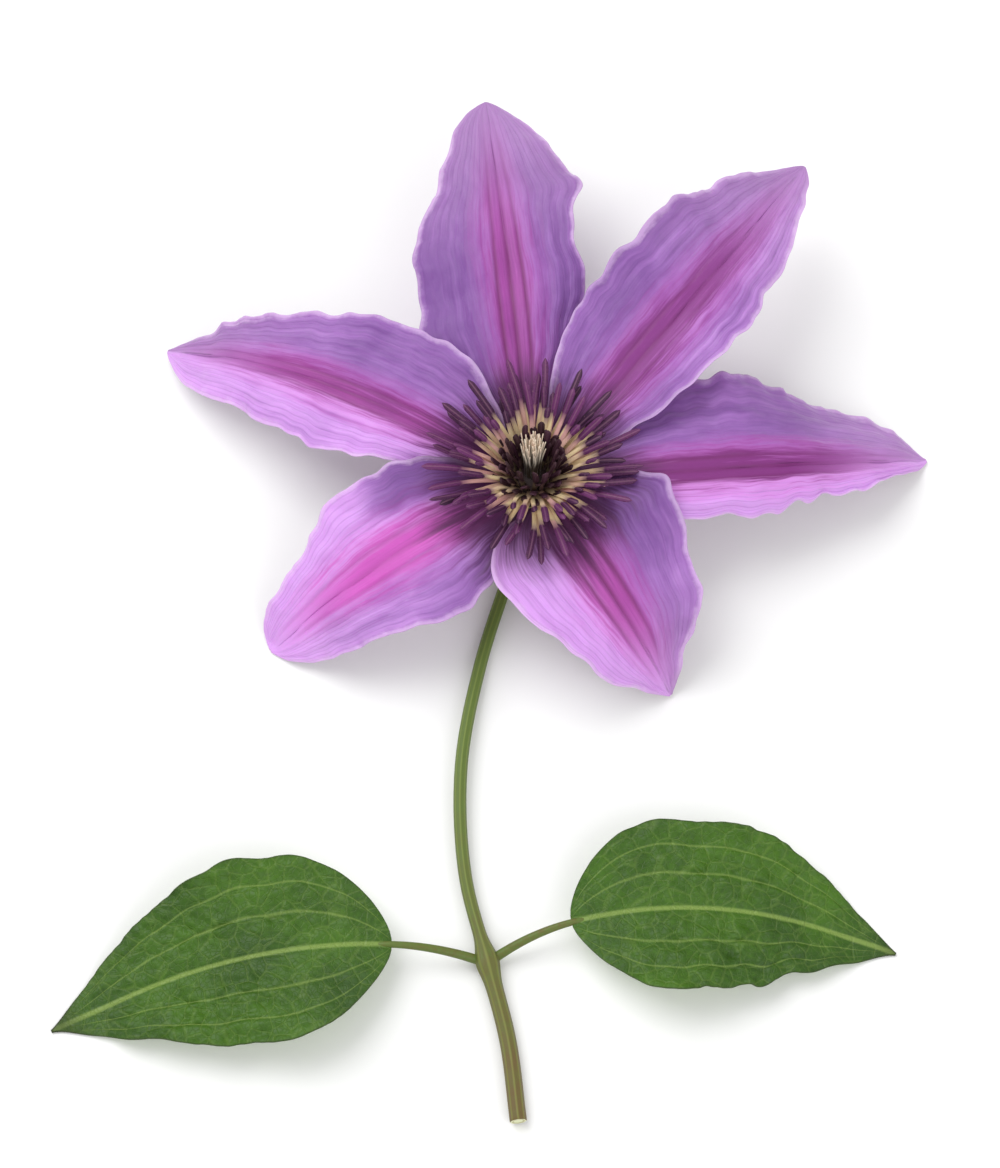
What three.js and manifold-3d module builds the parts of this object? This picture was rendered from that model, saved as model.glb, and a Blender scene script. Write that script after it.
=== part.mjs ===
// A cut clematis flower: six sepals, a boss of stamens round a silky pistil, a bent stalk and one pair of
// leaves. It lies on its back on a level surface at z = 0. Millimetres and degrees, +Z up, and the stalk
// runs towards -Y.
import * as THREE from "three";
import { mergeVertices } from "three/addons/utils/BufferGeometryUtils.js";
import Module from "manifold-3d";

const wasm = await Module();
wasm.setup();

// ---- driving dimensions ----
const GAP = 0.3; // clearance wherever two pieces meet

const HEART = 17; // height of the receptacle's rim, where the sepals spring from
const RIM = 6; // radius of that rim
const DOME = 3; // height of the receptacle's dome above the rim
const NECK = 5; // depth of the receptacle below the rim

const SEPAL_THICK = 0.9;
const SEPAL_CLAW = 2.1; // half width of a sepal's narrow foot
const SEPAL_TIP = 0.4; // half width left at a sepal's very tip

// Pairs are for the right and left of the midrib. wide: greatest width. belly: where along the length that
// is. shoulder: how slowly the blade widens from its foot. point: how drawn out the tip is. heading: compass
// of the foot from +X. sweep: how far the sepal has turned by its tip. rise and fall: its slope at foot and
// tip. roll: lift of its left margin. cup: lift of the margins above the midrib: a margin that lies over its
// neighbour lifts, one that is covered tucks down.
const SEPALS = [
  {
    length: 79, wide: [16, 18.6], belly: [0.65, 0.38], shoulder: 1.1, point: [0.76, 0.7],
    heading: 96, sweep: 1, rise: 20, fall: -14, roll: 0, cup: [-0.14, -0.12],
  },
  {
    length: 85, wide: [12.8, 17], belly: [0.5, 0.4], shoulder: 0.88, point: [0.88, 0.84],
    heading: 45.5, sweep: 12, rise: 23.5, fall: -20, roll: 3, cup: [0.14, 0.14],
  },
  {
    length: 82, wide: [9, 21.5], belly: [0.28, 0.44], shoulder: 0.85, point: [0.8, 0.95],
    heading: -2.5, sweep: 24.5, rise: 19.5, fall: -45.5, roll: 0, cup: [-0.16, -0.14],
  },
  {
    length: 50, wide: [16.2, 20], belly: [0.26, 0.25], shoulder: 0.62, point: [0.98, 1.2],
    heading: -60, sweep: 12, rise: 21.5, fall: -65, roll: 2, cup: [0.16, 0.22],
  },
  {
    length: 61, wide: [15.2, 15.4], belly: [0.33, 0.4], shoulder: 0.75, point: [0.7, 0.82],
    heading: 212, sweep: -5, rise: 17, fall: -54, roll: -9, cup: [0.12, -0.02],
  },
  {
    length: 83.5, wide: [16.4, 12.2], belly: [0.28, 0.52], shoulder: 0.85, point: [1.15, 0.8],
    heading: 155.5, sweep: -3, rise: 22, fall: -46, roll: -9, cup: [0.12, -0.08],
  },
];

const STAMENS = 48;
const INNER_STAMENS = 14; // the erect ones, close round the pistil
const GOLDEN_ANGLE = 180 * (3 - Math.sqrt(5));
const FILAMENT_RADIUS = 0.38;
const ANTHER_WIDE = 0.72; // half width of an anther
const ANTHER_THICK = 0.45; // its half thickness

const STYLES = 9; // strands of the pistil's tuft
const PISTIL_HEIGHT = 12;

const NODE = new THREE.Vector3(-9, -96, 2.3); // middle of the swollen joint that bears the leaves
const STALK = [
  new THREE.Vector3(0, 0, HEART - NECK + 1),
  new THREE.Vector3(-0.7, -2.4, 7.2),
  new THREE.Vector3(-2.6, -8, 2.9),
  new THREE.Vector3(-5.6, -17, 1.6),
  new THREE.Vector3(-10.5, -34, 1.9),
  new THREE.Vector3(-14.2, -56, 2.9),
  new THREE.Vector3(-13.4, -78, 2.4),
  NODE,
  new THREE.Vector3(-5, -112, 1.8),
  new THREE.Vector3(-3, -128, 1.7),
];

const LEAF_THICK = 0.8;
const LEAF_BELLY = 0.3;
const LEAVES = [
  { name: "leaf_left", length: 70, half: 18, petiole: 17, heading: 169, sweep: 38 },
  { name: "leaf_right", length: 66, half: 17, petiole: 16, heading: 28, sweep: -50 },
];

// ---- finishes ----
const LILAC = finish(0xa878c4, 0.6);
const MAROON = finish(0x5a2a3c, 0.6);
const CREAM = finish(0xe6d8bd, 0.7);
const GREEN = finish(0x6d8438, 0.55);
const LEAF = finish(0x456a22, 0.5);

function finish(color, roughness) {
  return new THREE.MeshStandardMaterial({ color, roughness, metalness: 0 });
}

// ---- tools ----
const UP = new THREE.Vector3(0, 0, 1);
const radians = THREE.MathUtils.degToRad;
const mix = THREE.MathUtils.lerp;

// A geometry welded into one closed surface, with every corner moved to where place puts it.
function moulded(geometry, place) {
  const corners = geometry.getAttribute("position");
  const corner = new THREE.Vector3();
  for (let i = 0; i < corners.count; i++) {
    corners.setXYZ(i, ...place(corner.fromBufferAttribute(corners, i)).toArray());
  }
  return welded(geometry);
}

function welded(geometry) {
  geometry.deleteAttribute("normal");
  geometry.deleteAttribute("uv");
  const closed = mergeVertices(geometry, 1e-3);
  closed.computeVertexNormals();
  return closed;
}

// One closed surface round all the given ones.
function joined(...geometries) {
  const whole = geometries.map(asSolid).reduce((sum, piece) => sum.add(piece)).getMesh();
  const geometry = new THREE.BufferGeometry();
  geometry.setAttribute("position", new THREE.BufferAttribute(whole.vertProperties, whole.numProp));
  geometry.setIndex(new THREE.BufferAttribute(whole.triVerts, 1));
  geometry.computeVertexNormals();
  return geometry;
}

function asSolid(geometry) {
  const vertProperties = geometry.getAttribute("position").array;
  const triVerts = new Uint32Array(geometry.getIndex().array);
  return new wasm.Manifold(new wasm.Mesh({ numProp: 3, vertProperties, triVerts }));
}

function named(name, geometry, material) {
  const mesh = new THREE.Mesh(geometry, material);
  mesh.name = name;
  return mesh;
}

// The frame at fraction s of a bow: a line that leaves the origin along +X, climbing at pitch[0], and turns
// steadily until it climbs at pitch[1] and heads turn degrees to the left.
function bow({ length, pitch, turn, start = new THREE.Vector3(), heading = 0 }, s) {
  const steps = 24;
  const aim = (t) => {
    const climb = radians(mix(pitch[0], pitch[1], t));
    const compass = radians(heading + turn * t);
    return new THREE.Vector3(
      Math.cos(climb) * Math.cos(compass),
      Math.cos(climb) * Math.sin(compass),
      Math.sin(climb),
    );
  };
  const point = start.clone();
  for (let i = 0; i < steps; i++) {
    point.addScaledVector(aim((s * (i + 0.5)) / steps), (length * s) / steps);
  }
  const along = aim(s);
  const compass = radians(heading + turn * s);
  const left = new THREE.Vector3(-Math.sin(compass), Math.cos(compass), 0);
  return { point, along, left, up: along.clone().cross(left) };
}

// A round or flattened rod round a centre line. frameAt gives the line's frame at t from 0 to 1, and
// sizeAt its half width and half thickness there.
function rod(frameAt, sizeAt, sides, steps) {
  return moulded(new THREE.CylinderGeometry(1, 1, 1, sides, steps), (corner) => {
    const t = corner.y + 0.5;
    const { point, left, up } = frameAt(t);
    const [wide, thick] = sizeAt(t);
    return point.clone().addScaledVector(left, corner.x * wide).addScaledVector(up, -corner.z * thick);
  });
}

// A thin closed sheet. faceAt gives the point of its underside and the normal there, at s from 0 at the
// foot to 1 at the tip and v from -1 at the right margin to 1 at the left one.
function sheet(faceAt, thick, lengthwise, crosswise) {
  return moulded(new THREE.BoxGeometry(1, 1, 1, lengthwise, crosswise, 1), (corner) => {
    const x = corner.x + 0.5;
    const s = mix(x, Math.sin((x * Math.PI) / 2), 0.5); // closer steps towards the tip
    const { point, normal } = faceAt(s, 2 * corner.y);
    return point.addScaledVector(normal, (corner.z + 0.5) * thick);
  });
}

// A blade's half width over its greatest half width: a quarter sine up to the belly, then a falling
// parabola raised to a power, which is blunt below 0.5 and drawn out above 1.
function outline(s, belly, shoulder, point) {
  if (s < belly) return Math.sin((Math.PI / 2) * (s / belly)) ** shoulder;
  return Math.max(0, 1 - ((s - belly) / (1 - belly)) ** 2) ** point;
}

// Height above the surface of a petal that would reach height z, but lies on the surface instead: a
// hyperbola that follows z above the surface and flattens out on it.
function laid(z) {
  const soft = 0.5;
  return (z + Math.hypot(z, 2 * soft)) / 2 - 0.1 * soft;
}

// ---- sub-parts ----

// One sepal, its foot at the origin and its length towards +X. The ground lies at -HEART.
function sepal(form, index) {
  const { length, wide, belly, shoulder, point: tip, sweep, rise, fall, roll, cup } = form;
  const faceAt = (s, v) => {
    const frame = bow({ length, pitch: [rise, fall], turn: sweep }, s);
    const lefthand = (1 + v) / 2;
    const swell = outline(s, mix(...belly, lefthand), shoulder, mix(...tip, lefthand));
    const blade = mix(...wide, lefthand) * swell;
    const width = SEPAL_CLAW * (1 - s) ** 3 + blade + SEPAL_TIP * s ** 6;
    const wave = 1.6 * Math.sin(2 * Math.PI * (1.4 * s + 0.37 * index + (v > 0 ? 0 : 0.4)));
    const cupped = width * (v > 0 ? cup[1] : cup[0]) * v * v;
    const lift = cupped + wave * Math.abs(v) ** 3 * outline(s, 0.5, 1, 1);
    const tilt = radians(roll * (1 - 0.4 * s));
    const left = frame.left.clone().applyAxisAngle(frame.along, tilt);
    const normal = frame.up.clone().applyAxisAngle(frame.along, tilt);
    const point = frame.point.addScaledVector(left, width * v);
    point.addScaledVector(normal, lift - SEPAL_THICK / 2);
    point.z = laid(point.z + HEART) - HEART;
    return { point, normal };
  };
  return sheet(faceAt, SEPAL_THICK, 14, 8);
}

// Height of the receptacle's dome above its rim at a radius.
function domeAt(radius) {
  return DOME * (1 - (radius / RIM) ** 2);
}

// The receptacle, the peduncle with its bend, the leaf node and the stem down to the cut.
function stalk() {
  const line = new THREE.CatmullRomCurve3(STALK, false, "centripetal");
  const steps = 64;
  const frames = line.computeFrenetFrames(steps);
  const nodeAt = nearest(line, NODE);
  const frameAt = (t) => {
    const i = Math.round(t * steps);
    return { point: line.getPointAt(t), left: frames.normals[i], up: frames.binormals[i] };
  };
  const sizeAt = (t) => {
    const swelling = 1.1 * Math.exp(-(((t - nodeAt) / 0.022) ** 2));
    const radius = mix(1.25, 1.6, THREE.MathUtils.smoothstep(t, nodeAt - 0.04, nodeAt + 0.04)) + swelling;
    return [radius, radius];
  };
  const receptacle = new THREE.LatheGeometry(
    [
      new THREE.Vector2(0, -NECK),
      new THREE.Vector2(1.4, -NECK),
      new THREE.Vector2(2.3, -NECK * 0.6),
      new THREE.Vector2(4.4, -1.3),
      new THREE.Vector2(RIM, -0.5),
      new THREE.Vector2(RIM, 0.2),
      new THREE.Vector2(RIM * 0.75, domeAt(RIM * 0.75)),
      new THREE.Vector2(RIM * 0.4, domeAt(RIM * 0.4)),
      new THREE.Vector2(0, DOME),
    ],
    18,
  );
  receptacle.rotateX(Math.PI / 2).translate(0, 0, HEART);
  return joined(rod(frameAt, sizeAt, 8, steps), welded(receptacle));
}

// The fraction along a curve that comes nearest a point.
function nearest(line, point) {
  const tries = Array.from({ length: 401 }, (_, i) => i / 400);
  return tries.reduce((best, t) =>
    line.getPointAt(t).distanceTo(point) < line.getPointAt(best).distanceTo(point) ? t : best,
  );
}

// One stamen, its foot at the origin and leaning towards +X: a thin filament that widens into an anther.
function stamen({ length, pitch, turn }) {
  const anther = 0.55; // where along the stamen the anther starts
  const sizeAt = (t) => {
    const widened = THREE.MathUtils.smoothstep(t, anther - 0.06, anther + 0.1);
    const full = widened - 0.6 * Math.max(0, (t - 0.8) / 0.2) ** 2;
    return [mix(FILAMENT_RADIUS, ANTHER_WIDE, full), mix(FILAMENT_RADIUS, ANTHER_THICK, full)];
  };
  return rod((t) => bow({ length, pitch, turn }, t), sizeAt, 6, 7);
}

// Where each stamen stands and how it leans, from the innermost to the outermost.
function stamenPlan(i) {
  const inner = i < INNER_STAMENS;
  const share = inner ? i / INNER_STAMENS : (i - INNER_STAMENS) / (STAMENS - INNER_STAMENS);
  const outerWhorl = i % 2 === 0;
  return {
    heading: i * GOLDEN_ANGLE,
    radius: Math.sqrt(mix(3.2 ** 2, 5.3 ** 2, i / (STAMENS - 1))),
    length: inner ? mix(11.5, 13, share) : outerWhorl ? 19.5 : 16,
    pitch: inner ? [84, 80 - 6 * share] : outerWhorl ? [36, 20] : [52, 40],
    turn: 8 * Math.sin(2.4 * i),
  };
}

// The tuft of styles: strands that rise from one foot and part at their tips.
function pistil() {
  const foot = new THREE.LatheGeometry(
    [
      new THREE.Vector2(0, 0),
      new THREE.Vector2(1.5, 0),
      new THREE.Vector2(1.6, 2.5),
      new THREE.Vector2(1.2, 5.5),
      new THREE.Vector2(0, 7.5),
    ],
    12,
  );
  foot.rotateX(Math.PI / 2);
  const strands = Array.from({ length: STYLES }, (_, i) => {
    const heading = i * GOLDEN_ANGLE;
    const start = new THREE.Vector3(0.8, 0, 2).applyAxisAngle(UP, radians(heading));
    const course = { length: PISTIL_HEIGHT - 2, pitch: [88, 80 - 8 * (i % 3)], turn: 0, start, heading };
    return rod((t) => bow(course, t), (t) => [mix(0.6, 0.34, t), mix(0.6, 0.34, t)], 6, 5);
  });
  return joined(welded(foot), ...strands);
}

// One leaf, its petiole's foot at the origin and heading for +X. The ground lies at -NODE.z.
function leaf({ length, half, petiole, sweep }, index) {
  const stem = { length: petiole, pitch: [22, 4], turn: sweep * 0.3 };
  const joint = bow(stem, 0.93);
  const blade = { length, pitch: [8, -25], turn: sweep * 0.7, start: joint.point, heading: sweep * 0.3 };
  const faceAt = (s, v) => {
    const frame = bow(blade, s);
    const width = 0.8 + half * outline(s, LEAF_BELLY, 0.7, 1.25);
    const wave = 1.5 * Math.sin(2 * Math.PI * (1.7 * s + 0.3 * index + (v > 0 ? 0 : 0.45)));
    const lift = width * 0.16 * Math.abs(v) ** 1.5 + wave * Math.abs(v) ** 3 * outline(s, 0.5, 1, 1);
    const point = frame.point.addScaledVector(frame.left, width * v);
    point.addScaledVector(frame.up, lift - LEAF_THICK / 2);
    point.z = laid(point.z + NODE.z) - NODE.z;
    return { point, normal: frame.up };
  };
  const handle = rod((t) => bow(stem, t), (t) => [mix(1.15, 0.8, t), mix(1.05, 0.8, t)], 7, 8);
  return joined(handle, sheet(faceAt, LEAF_THICK, 16, 8));
}

// ---- assembly ----
const bloom = new THREE.Group();
bloom.position.z = HEART;

SEPALS.forEach((form, index) => {
  const mesh = named(`sepal_${index + 1}`, sepal(form, index), LILAC);
  mesh.position.set(RIM + GAP, 0, 0).applyAxisAngle(UP, radians(form.heading));
  mesh.rotation.z = radians(form.heading);
  bloom.add(mesh);
});

for (let i = 0; i < STAMENS; i++) {
  const plan = stamenPlan(i);
  const mesh = named(`stamen_${String(i + 1).padStart(2, "0")}`, stamen(plan), MAROON);
  mesh.position.set(plan.radius, 0, domeAt(plan.radius) + 2 * GAP);
  mesh.position.applyAxisAngle(UP, radians(plan.heading));
  mesh.rotation.z = radians(plan.heading);
  bloom.add(mesh);
}

const tuft = named("pistil", pistil(), CREAM);
tuft.position.z = DOME + GAP;
bloom.add(tuft);

const flower = new THREE.Group();
flower.add(bloom, named("stalk", stalk(), GREEN));
LEAVES.forEach((form, index) => {
  const mesh = named(form.name, leaf(form, index), LEAF);
  mesh.position.set(3.1 + GAP, 0, 0).applyAxisAngle(UP, radians(form.heading)).add(NODE);
  mesh.rotation.z = radians(form.heading);
  flower.add(mesh);
});

// The origin is the middle of the flower's footprint, on the surface it lies on.
const box = new THREE.Box3().setFromObject(flower, true);
const middle = box.getCenter(new THREE.Vector3());
flower.position.set(-middle.x, -middle.y, -box.min.z);

const group = new THREE.Group();
group.add(flower);

export default group;
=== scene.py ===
"""A cut clematis flower that lies on its back, on a bent stalk with one pair of leaves.

Every piece is a surface worked out with numpy in millimetres, in the flower's own frame: the bloom's axis
is x = y = 0, +Z points up out of its face, and it rests on z = 0. Skin.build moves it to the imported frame
and into metres. Angles are degrees, and a compass of 0 is +X.
"""
import math

import bpy
import numpy as np
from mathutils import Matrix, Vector


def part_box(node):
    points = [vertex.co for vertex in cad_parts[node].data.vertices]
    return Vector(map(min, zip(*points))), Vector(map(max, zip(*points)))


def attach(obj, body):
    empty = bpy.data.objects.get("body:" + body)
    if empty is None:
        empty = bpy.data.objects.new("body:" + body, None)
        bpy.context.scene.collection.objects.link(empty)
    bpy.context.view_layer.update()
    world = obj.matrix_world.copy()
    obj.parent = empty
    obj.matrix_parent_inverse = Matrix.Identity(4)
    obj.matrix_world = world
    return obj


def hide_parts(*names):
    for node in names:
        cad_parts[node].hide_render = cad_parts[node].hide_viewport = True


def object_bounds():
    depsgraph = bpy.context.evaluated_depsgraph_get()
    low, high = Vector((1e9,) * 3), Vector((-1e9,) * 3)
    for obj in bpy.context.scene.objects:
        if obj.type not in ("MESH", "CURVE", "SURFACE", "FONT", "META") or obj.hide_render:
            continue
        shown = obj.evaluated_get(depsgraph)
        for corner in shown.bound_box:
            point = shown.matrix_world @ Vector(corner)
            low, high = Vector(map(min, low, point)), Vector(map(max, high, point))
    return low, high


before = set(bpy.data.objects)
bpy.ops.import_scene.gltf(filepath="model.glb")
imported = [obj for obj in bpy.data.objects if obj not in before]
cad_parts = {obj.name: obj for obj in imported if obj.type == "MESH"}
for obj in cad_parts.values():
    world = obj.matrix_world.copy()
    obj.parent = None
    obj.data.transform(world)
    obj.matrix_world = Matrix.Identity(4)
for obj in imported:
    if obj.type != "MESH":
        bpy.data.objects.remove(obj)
CAD_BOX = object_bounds()

bl_info = {
    "name": "Cut Clematis",
    "version": (1, 0, 0),
    "blender": (4, 5, 0),
    "location": "3D View > Sidebar > Clematis",
    "description": "Builds a cut clematis flower round its packed frame",
    "category": "Add Mesh",
}

# ---- the flower's driving sizes, in millimetres and degrees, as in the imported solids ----
MM = 0.001
HEART = 17  # height of the receptacle's rim
RIM = 6  # its radius
DOME = 3  # height of the dome above the rim
NECK = 5  # depth of the receptacle below the rim
GAP = 0.3  # clearance where two solids meet
BLADE_GRID = (181, 121)  # points along and across a sepal or a leaf

SEPAL_TIP = 0.4  # half width of a sepal's blunt tip
FOOT_SUNK = 1.2  # how far a foot runs into what it grows from
# Pairs are for the right and left of the midrib. The pair after cup is how pale the tissue is, partly its own
# colour and partly painted light, and below 0 it is painted shade. The pair after that is how much of that
# paleness the margins lose towards the foot, as painted shade. glow is how bright the bar is, ink how strong,
# vein how dark its veins are, and band its width over the common one. claw is the half width of the foot,
# wider where the next sepal stands far off.
SEPALS = [
    dict(length=79, wide=(16, 18.6), belly=(0.65, 0.38), shoulder=1.1, point=(0.76, 0.7),
         heading=96, sweep=1, rise=20, fall=-14, roll=0, cup=(-0.14, -0.12), flush=(-0.15, -0.3),
         foot_shade=(0, 0), glow=0.2, ink=0.7, vein=1, band=1.05, claw=(2.4, 2.4)),
    dict(length=85, wide=(12.8, 17), belly=(0.5, 0.4), shoulder=0.88, point=(0.88, 0.84),
         heading=45.5, sweep=12, rise=23.5, fall=-20, roll=3, cup=(0.14, 0.14), flush=(0.3, -0.05),
         foot_shade=(0, 0), glow=0, ink=0.82, vein=0.5, band=1.05, claw=(2.3, 2.3)),
    dict(length=82, wide=(9, 21.5), belly=(0.28, 0.44), shoulder=0.85, point=(0.8, 0.95),
         heading=-2.5, sweep=24.5, rise=19.5, fall=-45.5, roll=0, cup=(-0.16, -0.14), flush=(1.15, 0.1),
         foot_shade=(0, 0), glow=-0.05, ink=1.05, vein=0.6, band=0.95, claw=(2.4, 2.4)),
    dict(length=50, wide=(16.2, 20), belly=(0.26, 0.25), shoulder=0.62, point=(0.98, 1.2),
         heading=-60, sweep=12, rise=21.5, fall=-65, roll=2, cup=(0.16, 0.22), flush=(1.45, 0.15),
         foot_shade=(0, 0.3), glow=0.42, ink=0.85, vein=1, band=1.15, claw=(5.8, 2.6)),
    dict(length=61, wide=(15.2, 15.4), belly=(0.33, 0.4), shoulder=0.75, point=(0.7, 0.82),
         heading=212, sweep=-5, rise=17, fall=-54, roll=-9, cup=(0.12, -0.02), flush=(1.1, 0.5),
         foot_shade=(1.7, 0.3), glow=0.9, ink=0.9, vein=0.35, band=1.2, claw=(2.6, 5.6)),
    dict(length=83.5, wide=(16.4, 12.2), belly=(0.28, 0.52), shoulder=0.85, point=(1.15, 0.8),
         heading=155.5, sweep=-3, rise=22, fall=-46, roll=-9, cup=(0.12, -0.08), flush=(0, 0.95),
         foot_shade=(0.1, 0), glow=0.15, ink=0.92, vein=0.5, band=0.8, claw=(2.4, 2.4)),
]

STAMENS = 48
INNER_STAMENS = 14  # the first of them, which stand steeply round the pistil
GOLDEN_ANGLE = 180 * (3 - math.sqrt(5))

NODE = np.array((-9, -96, 2.3))  # middle of the swollen joint that bears the leaves
PEDUNCLE, STEM = 1.25, 1.6  # the stalk's radius above the node and below it
SPAN = 24  # steps from one point of the stalk's line to the next
STALK = np.array([
    (0, 0, HEART - NECK + 1), (-0.7, -2.4, 7.2), (-2.6, -8, 2.9), (-5.6, -17, 1.6), (-10.5, -34, 1.9),
    (-14.2, -56, 2.9), (-13.4, -78, 2.4), NODE, (-5, -112, 1.8), (-3, -128, 1.7),
])

PETIOLE_FOOT = 3.1 + GAP  # from the node's middle to a petiole's foot
PETIOLE_SUNK = 1.9  # how far a petiole runs on into the node
LEAF_BELLY = 0.3  # share of the blade at which it is widest
LEAF_NERVES = (0.4, 0.72)  # where the side veins run, as shares of the half width
LEAVES = [
    dict(node="leaf_left", length=70, half=18, petiole=17, heading=169, sweep=38),
    dict(node="leaf_right", length=66, half=17, petiole=16, heading=28, sweep=-50),
]

# The receptacle's rim has 18 sides, so it reaches furthest along +Y at a corner and along +X half a side
# away from one. Nothing of the stalk reaches further either way, and its top is the dome.
STALK_TOP = np.array(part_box("stalk")[1]) / MM
AXIS = STALK_TOP - (RIM * math.cos(math.radians(10)), RIM, HEART + DOME)


# ---- curves and frames ----
def mix(a, b, t):
    """a where t is 0 and b where it is 1, in a straight line."""
    return a + (b - a) * t


def smooth(low, high, x):
    """0 below low and 1 above high, with the cubic 3t^2 - 2t^3 between."""
    t = np.clip((x - low) / (high - low), 0, 1)
    return t * t * (3 - 2 * t)


def hump(x, width):
    """The bell exp(-(x / width)^2)."""
    return np.exp(-((x / width) ** 2))


def turned(points, compass):
    """Points turned about +Z."""
    c, s = math.cos(math.radians(compass)), math.sin(math.radians(compass))
    return points @ np.array([[c, s, 0], [-s, c, 0], [0, 0, 1]])


def bow(s, length, pitch, turn, start=(0, 0, 0), heading=0):
    """Point, along, left and up at share s of a line that leaves start towards heading at slope pitch[0] and
    turns steadily to slope pitch[1] and heading + turn. A point is the start plus the length run times the
    mean of 24 aims on the way. left is level, and up is along x left."""
    s = np.asarray(s, float)

    def aim(t):
        climb, compass = np.radians(mix(*pitch, t)), np.radians(heading + turn * t)
        flat = np.cos(climb)
        return np.stack([flat * np.cos(compass), flat * np.sin(compass), np.sin(climb)], -1)

    on_the_way = s[..., None] * (np.arange(24) + 0.5) / 24
    point = np.array(start) + aim(on_the_way).mean(-2) * (length * s)[..., None]
    compass = np.radians(heading + turn * s)
    left = np.stack([-np.sin(compass), np.cos(compass), np.zeros_like(s)], -1)
    return point, aim(s), left, np.cross(aim(s), left)


def outline(s, belly, shoulder, point):
    """A blade's half width over its greatest: a quarter sine, to the power shoulder, up to the belly, then a
    falling parabola to the power point."""
    s = np.clip(s, 0, 1)
    rising = np.sin(np.pi / 2 * np.minimum(s / belly, 1)) ** shoulder
    falling = (1 - (np.maximum(s - belly, 0) / (1 - belly)) ** 2) ** point
    return rising * falling


def laid(z):
    """A hyperbola that follows height z above the surface and flattens out on it."""
    return (z + np.hypot(z, 1)) / 2 - 0.05


def crinkle(x, y, size, seed):
    """An irregular field of about +-1 whose dimples are size across: 20 sine waves of seeded directions,
    paces and phases, added and divided by the root of 10."""
    random = np.random.default_rng(seed)
    angle, phase = random.uniform(0, 2 * np.pi, (2, 20))
    pace = random.uniform(0.7, 1.4, 20) * 2 * np.pi / size
    run = pace * (np.cos(angle) * x[..., None] + np.sin(angle) * y[..., None])
    return np.sin(run + phase).sum(-1) / math.sqrt(10)


def normals(grid):
    """The unit normals of a grid of points [along, across], along x across."""
    normal = np.cross(np.gradient(grid, axis=0), np.gradient(grid, axis=1))
    return normal / np.linalg.norm(normal, axis=-1, keepdims=True)


def spline(knots, steps):
    """A centripetal Catmull-Rom curve through the knots, with so many steps a span: cubic Hermite spans whose
    tangents weigh the neighbouring chords by the square roots of their lengths."""
    ends = np.vstack([2 * knots[0] - knots[1], knots, 2 * knots[-1] - knots[-2]])
    step = np.linalg.norm(np.diff(ends, axis=0), axis=1)[:, None] ** 0.5
    slope = np.diff(ends, axis=0) / step
    wide = ends[2:] - ends[:-2]
    tangent = slope[:-1] - wide / (step[:-1] + step[1:]) + slope[1:]
    t = np.arange(steps)[None, :, None] / steps
    start, end, span = knots[:-1, None], knots[1:, None], step[1:-1, None]
    a, b = tangent[:-1, None] * span, tangent[1:, None] * span
    curve = start * (2 * t**3 - 3 * t**2 + 1) + end * (3 * t**2 - 2 * t**3)
    curve = curve + a * (t**3 - 2 * t**2 + t) + b * (t**3 - t**2)
    return np.vstack([curve.reshape(-1, 3), knots[-1]])


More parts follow.
